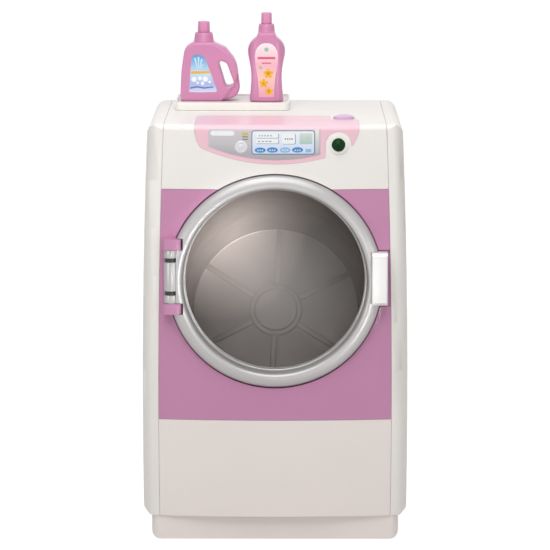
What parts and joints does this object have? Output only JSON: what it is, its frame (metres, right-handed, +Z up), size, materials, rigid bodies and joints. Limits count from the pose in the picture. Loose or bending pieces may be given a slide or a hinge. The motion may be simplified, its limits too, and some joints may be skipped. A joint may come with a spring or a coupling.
{
  "type": "toy washing machine",
  "caption": "Toy front-loading washing machine with a hinged porthole door, geared tilted drum, push button and a tray with lift-off toy bottles.",
  "frame": {"origin": "middle of the flat underside of the plinth", "axes": "+Z up, front with the door faces -Y, +X to the right seen from the front"},
  "size_m": [0.243, 0.2528, 0.4726],
  "materials": {
    "shell_plastic": "gloss white moulded plastic",
    "door_panel_plastic": "gloss mauve moulded plastic",
    "control_pink": "gloss pale pink plastic",
    "display_print": "printed film, silver and blue",
    "lens_green": "dark green tinted plastic",
    "led_plastic": "milky plastic",
    "board": "green circuit board",
    "dark_plastic": "black moulded plastic",
    "steel": "plated steel",
    "drum_plastic": "metallic grey moulded plastic",
    "tub_plastic": "grey moulded plastic",
    "silver_plastic": "silver painted plastic",
    "window_plastic": "clear smoke tinted plastic",
    "handle_plastic": "gloss white plastic",
    "gear_plastic": "natural acetal",
    "brass": "turned brass",
    "motor_metal": "plated can of a small motor",
    "cell_metal": "blue sleeved dry cell",
    "button_plastic": "lilac plastic",
    "bottle_pink": "gloss pink blow moulded plastic",
    "cap_pink": "gloss pink moulded plastic"
  },
  "bodies": {
    "cabinet": {"side_shell_left": "shell_plastic", "side_shell_right": "shell_plastic", "lower_front_panel": "shell_plastic", "door_panel": "door_panel_plastic", "top_cover": "shell_plastic", "back_panel": "shell_plastic", "plinth": "shell_plastic", "control_panel": "control_pink", "display_plate": "display_print", "indicator_lens": "lens_green", "indicator_led": "led_plastic", "circuit_board": "board", "button_switch": "dark_plastic", "board_screws": "steel", "tray": "shell_plastic", "tub": "tub_plastic", "tub_collar": "drum_plastic", "tub_screws": "steel", "shaft_bush": "brass", "gearbox_plate": "gear_plastic", "gearbox_screws": "steel", "idler_axle": "steel", "motor": "motor_metal", "motor_screws": "steel", "battery_box": "shell_plastic", "batteries": "cell_metal", "battery_contacts": "steel", "battery_cover": "shell_plastic", "battery_cover_screw": "steel", "back_panel_screws": "steel", "hinge_pin": "steel", "latch_catch": "steel", "button_spring": "steel"},
    "door": {"door_ring": "silver_plastic", "door_window": "window_plastic", "window_retainer": "silver_plastic", "retainer_screws": "steel", "door_handle": "handle_plastic", "latch_hook": "handle_plastic"},
    "drum": {"drum_shell": "drum_plastic", "drum_hub_cap": "drum_plastic", "drum_shaft": "steel", "drum_gear": "gear_plastic", "drum_screws": "steel"},
    "idler": {"idler_gear": "gear_plastic"},
    "pinion": {"motor_pinion": "brass", "motor_shaft": "steel"},
    "start_button": {"start_button": "button_plastic"},
    "detergent": {"detergent_bottle": "bottle_pink", "detergent_cap": "cap_pink"},
    "softener": {"softener_bottle": "bottle_pink", "softener_cap": "cap_pink"}
  },
  "joints": [
    {"name": "door_hinge", "type": "hinge", "parent": "cabinet", "child": "door", "pos_m": [-0.0945, -0.1195, 0.2402], "axis": [0, 0, -1], "range_deg": [0, 115]},
    {"name": "drum_spin", "type": "hinge", "parent": "cabinet", "child": "drum", "pos_m": [0, -0.0715, 0.2317], "axis": [0, 0.9397, -0.342], "continuous": true},
    {"name": "idler_spin", "type": "hinge", "parent": "cabinet", "child": "idler", "pos_m": [0, -0.08689, 0.18941], "axis": [0, 0.9397, -0.342], "continuous": true},
    {"name": "pinion_spin", "type": "hinge", "parent": "cabinet", "child": "pinion", "pos_m": [0, -0.09544, 0.16592], "axis": [0, 0.9397, -0.342], "continuous": true},
    {"name": "start_press", "type": "slide", "parent": "cabinet", "child": "start_button", "axis": [0, 0, -1], "range_m": [0, 0.002], "stiffness_N_per_m": 200, "springref_m": -0.002, "deforming": ["button_spring"]},
    {"name": "detergent_lift", "type": "slide", "parent": "cabinet", "child": "detergent", "axis": [0, 0, 1], "range_m": [0, 0.06]},
    {"name": "softener_lift", "type": "slide", "parent": "cabinet", "child": "softener", "axis": [0, 0, 1], "range_m": [0, 0.06]}
  ],
  "couplings": [
    {"joint": "idler_spin", "follows": "drum_spin", "ratio": -4},
    {"joint": "pinion_spin", "follows": "drum_spin", "ratio": 16}
  ]
}
